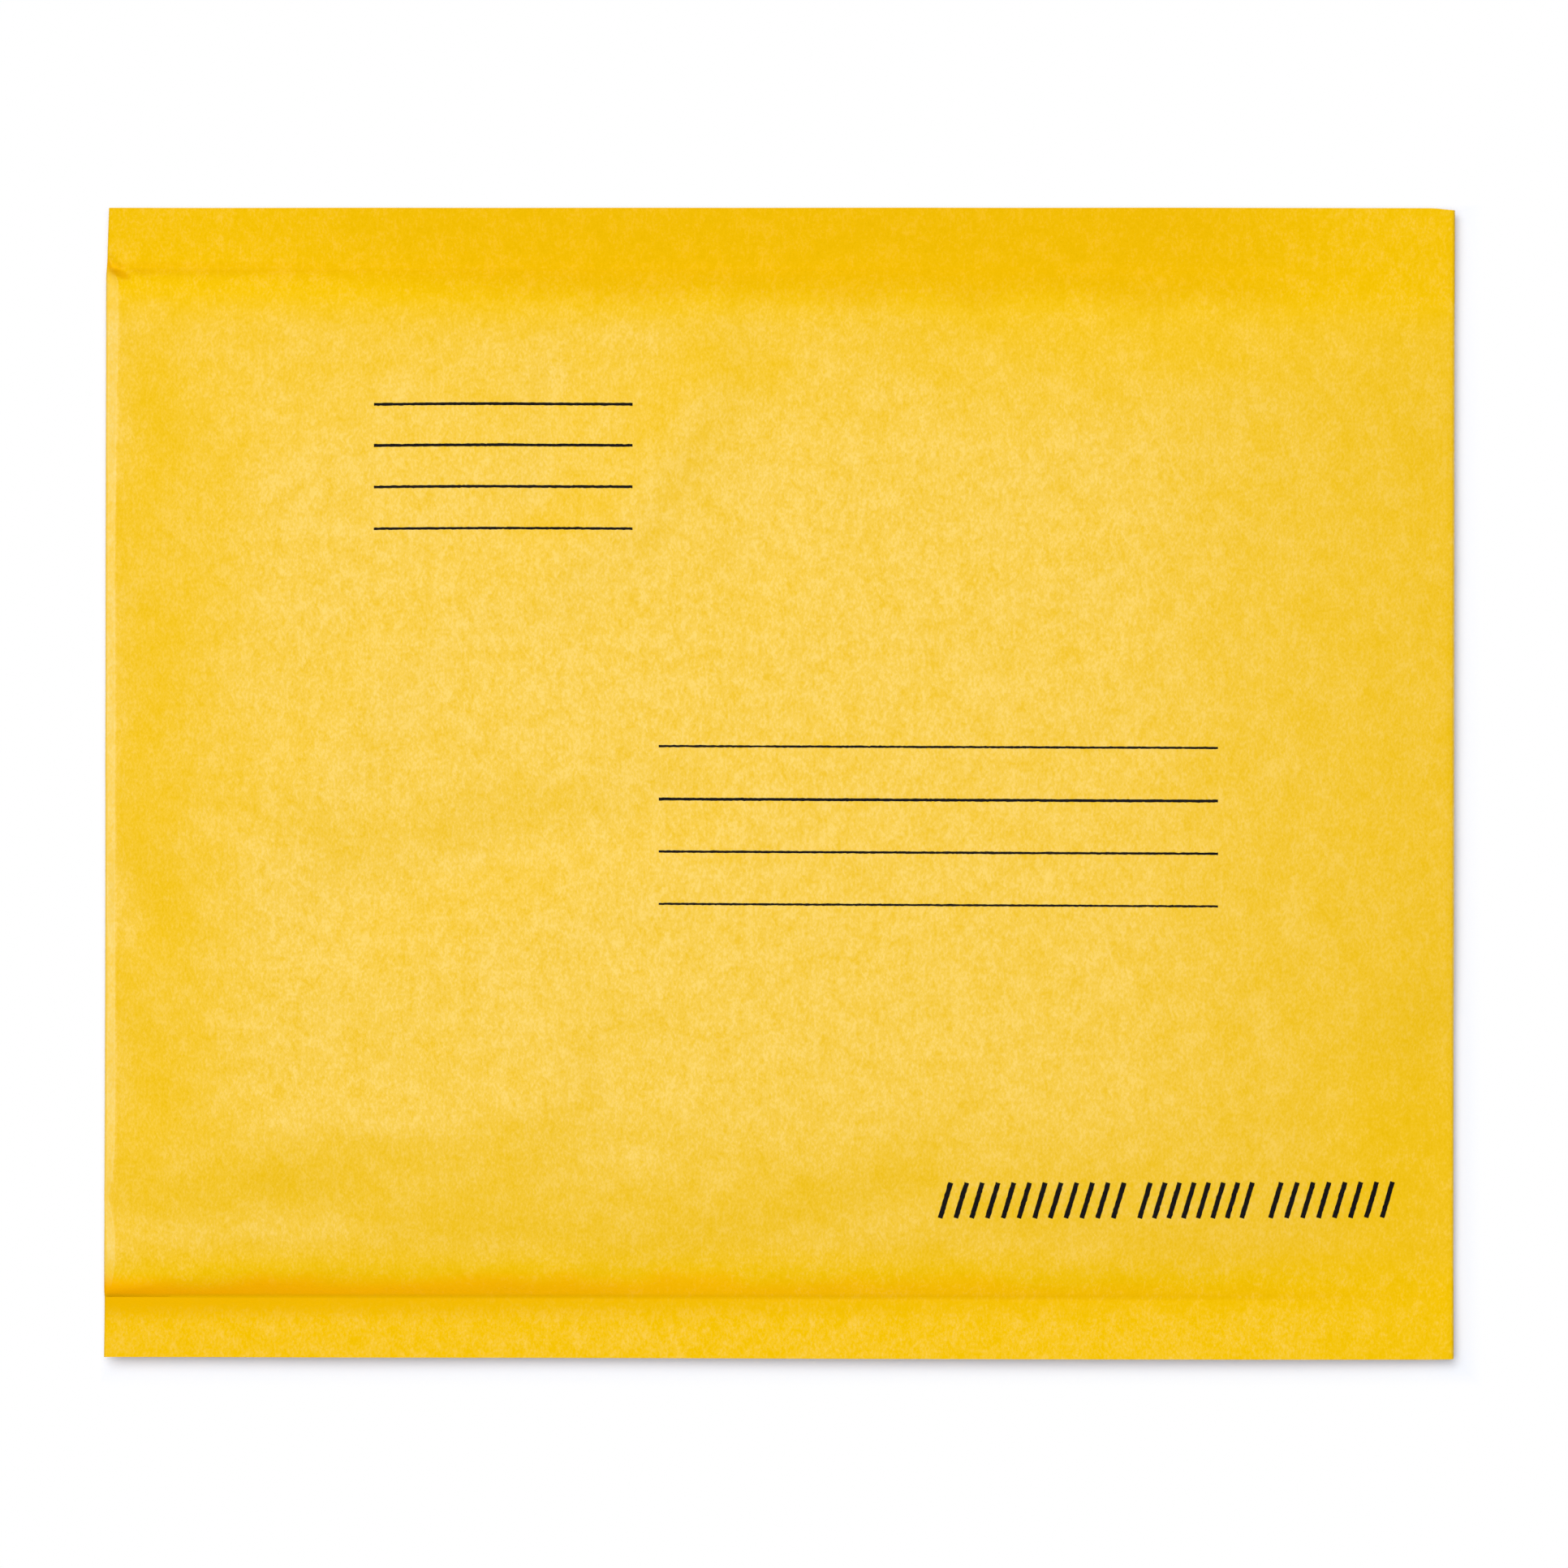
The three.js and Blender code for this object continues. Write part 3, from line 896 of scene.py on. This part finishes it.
# Bubble film between the papers, and printing ink
FILM_STRETCH = (0.1, 0.1, 6.0)
FILM_SCALE = 1500
FILM_COLORS = ((0.35, (0.62, 0.6, 0.56)), (0.65, (0.82, 0.81, 0.78)))
FILM_ROUGHNESS = 0.35
INK_SCALE = 3200
INK_COLORS = ((0.5, (0.003, 0.0025, 0.0025)), (0.8, (0.02, 0.009, 0.004)))
INK_SHINE = 0.15
INK_MATTNESS = 0.6
INK_BUMP_STRENGTH = 0.2
INK_BUMP = 0.00003


def film_material():
    material = bpy.data.materials.new("pressed_film")
    nodes = Nodes(material)
    place = nodes.add("ShaderNodeTexCoord").outputs["Object"]
    layers = nodes.noise(nodes.stretched(place, FILM_STRETCH), FILM_SCALE, 2.0, 0.5)
    color = nodes.ramp(layers, FILM_COLORS)
    shader = nodes.add("ShaderNodeBsdfPrincipled", Base_Color=color, Roughness=FILM_ROUGHNESS)
    nodes.add("ShaderNodeOutputMaterial", Surface=shader.outputs[0])
    return material


def ink_material():
    material = bpy.data.materials.new("printing_ink")
    nodes = Nodes(material)
    place = nodes.add("ShaderNodeTexCoord").outputs["Object"]
    speckle = nodes.noise(place, INK_SCALE, 2.0, 0.6)
    color = nodes.ramp(speckle, INK_COLORS)
    bump = nodes.bump(INK_BUMP_STRENGTH, INK_BUMP, speckle)
    shader = nodes.add("ShaderNodeBsdfPrincipled", Base_Color=color, Roughness=INK_MATTNESS, Normal=bump)
    nodes.put(shader, "Specular IOR Level", INK_SHINE)
    nodes.add("ShaderNodeOutputMaterial", Surface=shader.outputs[0])
    return material


FLOOR_SIZE = 4.0
FLOOR_DROP = 0.0001
FLOOR_COLOR = (0.885, 0.895, 0.905)
FLOOR_LIFT = (0.01, 0.032, 0.095)  # added where it is seen directly, against the paper's yellow glow

# Distance from the envelope, in metres, over which the floor runs out to white: on the two shaded sides and
# on the two lit ones
SHADE_SWEEP = (0.0016, 0.005)
LIT_SWEEP = (0.0, 0.0012)


def seen_directly(nodes):
    path = nodes.add("ShaderNodeLightPath").outputs
    return nodes.largest(path["Is Camera Ray"], path["Is Glossy Ray"], path["Is Transmission Ray"])


def floor_material():
    """A pale floor that keeps the shadow and runs out to white where it is seen directly."""
    material = bpy.data.materials.new("pale_floor")
    nodes = Nodes(material)
    place = nodes.add("ShaderNodeTexCoord").outputs["Object"]
    x, y, _ = nodes.add("ShaderNodeSeparateXYZ", Vector=place).outputs
    half_length, half_width = LENGTH / 2 * MM, WIDTH / 2 * MM
    right = nodes.math("SUBTRACT", x, half_length)
    above = nodes.math("SUBTRACT", y, half_width)
    left = nodes.math("SUBTRACT", nodes.product(x, -1.0), half_length)
    below = nodes.math("SUBTRACT", nodes.product(y, -1.0), half_width)
    shade = nodes.rise(nodes.largest(right, below), SHADE_SWEEP)
    lit = nodes.rise(nodes.largest(left, above), LIT_SWEEP)
    seen = seen_directly(nodes)
    diffuse = nodes.add("ShaderNodeBsdfDiffuse", Color=(*FLOOR_COLOR, 1))
    lift = nodes.add("ShaderNodeEmission", Color=(*FLOOR_LIFT, 1), Strength=seen)
    near = nodes.add("ShaderNodeAddShader", **{"0": diffuse.outputs[0], "1": lift.outputs[0]})
    white = nodes.add("ShaderNodeEmission", Strength=1.0)
    share = nodes.product(nodes.largest(shade, lit), seen)
    mix = nodes.add("ShaderNodeMixShader", Fac=share)
    nodes.put(mix, "1", near.outputs[0])
    nodes.put(mix, "2", white.outputs[0])
    nodes.add("ShaderNodeOutputMaterial", Surface=mix.outputs[0])
    return material


def make_floor():
    half = FLOOR_SIZE / 2
    corners = [(-half, -half, 0), (half, -half, 0), (half, half, 0), (-half, half, 0)]
    mesh = bpy.data.meshes.new("floor")
    mesh.from_pydata(corners, [], [(0, 1, 2, 3)])
    mesh.materials.append(floor_material())
    floor = bpy.data.objects.new("floor", mesh)
    floor.location.z = -FLOOR_DROP
    bpy.context.scene.collection.objects.link(floor)


# A large polarised soft box up and to the left of the camera, whose own reflection doesn't show, a small
# one beside the camera, which gives the paper its sheen, and a weak even fill
SOFTBOXES = (
    ("side_softbox", (-0.33, 0.46, 2.2), 1.15, 32.9, False),
    ("top_softbox", (-0.05, 0.02, 1.1), 0.55, 3.15, True),
)
FILL = 0.245


def make_lights():
    for name, place, size, power, reflected in SOFTBOXES:
        light = bpy.data.lights.new(name, "AREA")
        light.size = size
        light.energy = power
        lamp = bpy.data.objects.new(name, light)
        lamp.location = place
        lamp.rotation_euler = lamp.location.to_track_quat("Z", "Y").to_euler()
        lamp.visible_camera = False
        lamp.visible_glossy = reflected
        bpy.context.scene.collection.objects.link(lamp)
    world = bpy.data.worlds.new("studio")
    bpy.context.scene.world = world
    nodes = Nodes(world)
    fill = nodes.add("ShaderNodeBackground", Strength=FILL)
    white = nodes.add("ShaderNodeBackground", Color=(1, 1, 1, 1), Strength=1.0)
    camera_ray = nodes.add("ShaderNodeLightPath").outputs["Is Camera Ray"]
    nodes.put(fill, "Color", (1, 1, 1, 1))
    mix = nodes.add("ShaderNodeMixShader", Fac=camera_ray)
    nodes.put(mix, "1", fill.outputs[0])
    nodes.put(mix, "2", white.outputs[0])
    nodes.add("ShaderNodeOutputWorld", Surface=mix.outputs[0])


# The picture: the side of its frame on the resting plane, and where its middle looks
FRAME_SIDE = 250.4
FRAME_MIDDLE = (0.71, 0.03)
LENS = 150.0
SENSOR = 36.0
FOCUS_LEVEL = 5.0


def make_camera():
    data = bpy.data.cameras.new("camera")
    data.lens = LENS
    data.sensor_width = SENSOR
    camera = bpy.data.objects.new("camera", data)
    distance = FRAME_SIDE * LENS / SENSOR
    camera.location = [v * MM for v in (*FRAME_MIDDLE, FOCUS_LEVEL + distance)]
    bpy.context.scene.collection.objects.link(camera)
    bpy.context.scene.camera = camera


def make_piece(piece, fill=None):
    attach(piece, BODY)
    if fill is not None:
        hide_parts(NODE)


make_camera()
make_lights()
make_floor()
ink = ink_material()
kraft = kraft_material("kraft_paper", KRAFT_COLORS)
# paper for the rim along the bottom fold, painted paler as a highlight
rim_highlight_kraft = kraft_material("rim_highlight_kraft_paper", RIM_HIGHLIGHT_COLORS)
make_piece(make_envelope(kraft, film_material(), rim_highlight_kraft), fill=0.5)
make_piece(make_return_lines(ink))
make_piece(make_address_lines(ink))
make_piece(make_hatching(ink))

bpy.context.scene.view_settings.view_transform = "Standard"
